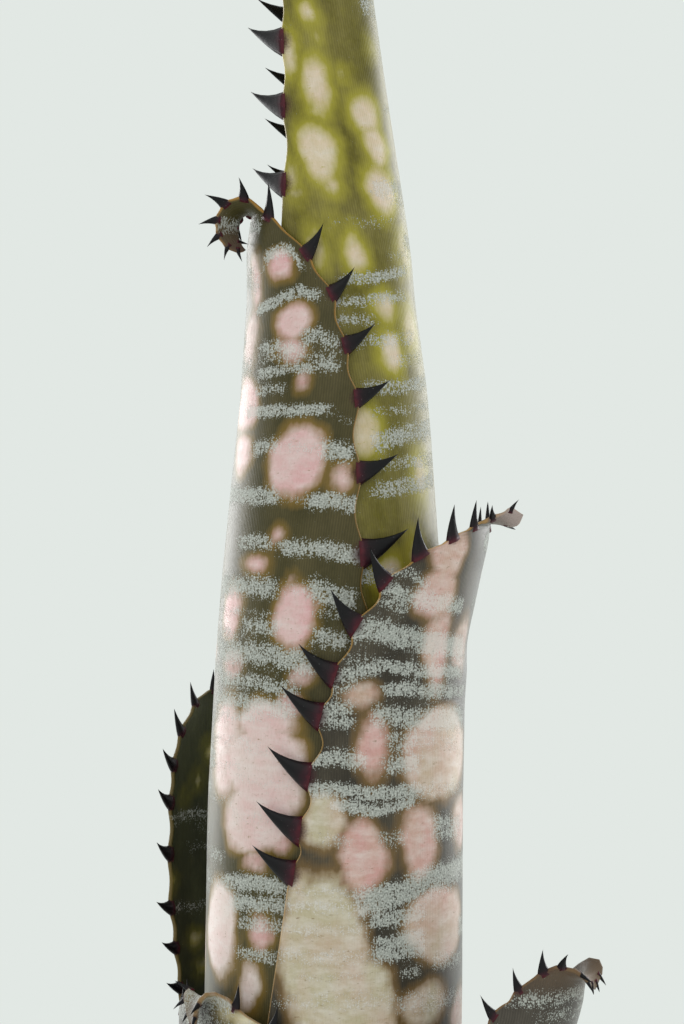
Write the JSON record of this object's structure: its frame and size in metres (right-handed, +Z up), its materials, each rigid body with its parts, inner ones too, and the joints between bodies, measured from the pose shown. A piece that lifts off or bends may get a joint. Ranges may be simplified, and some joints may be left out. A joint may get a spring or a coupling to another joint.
{
  "type": "potted bromeliad",
  "caption": "Upright tubular tank bromeliad with spiny, pink-spotted, silver-banded strap leaves rolled round one another, standing in bark mix in a plain round clay pot.",
  "frame": {"origin": "centre of the pot's underside, on the surface that it stands on", "axes": "+Z up along the plant's tube, -Y towards the viewer of the picture, +X to the viewer's right"},
  "size_m": [0.12, 0.12, 0.4187],
  "materials": {
    "terracotta": "matte",
    "potting_mix": "matte",
    "bark": "matte",
    "stem": "matte",
    "leaf_yellow_green": "satin",
    "leaf_pink_banded": "satin",
    "leaf_dark_green": "satin"
  },
  "bodies": {
    "root": {"pot": "terracotta", "potting_mix": "potting_mix", "stem_and_roots": "stem", "leaf_heart": "leaf_yellow_green", "leaf_tall": "leaf_yellow_green", "leaf_left": "leaf_pink_banded", "leaf_right": "leaf_pink_banded", "leaf_back_left": "leaf_dark_green", "leaf_low_right": "leaf_dark_green", "leaf_low_left": "leaf_dark_green", "bark_chip_01": "bark", "bark_chip_02": "bark", "bark_chip_03": "bark", "bark_chip_04": "bark", "bark_chip_05": "bark", "bark_chip_06": "bark", "bark_chip_07": "bark", "bark_chip_08": "bark", "bark_chip_09": "bark", "bark_chip_10": "bark", "bark_chip_11": "bark", "bark_chip_12": "bark"}
  },
  "joints": []
}
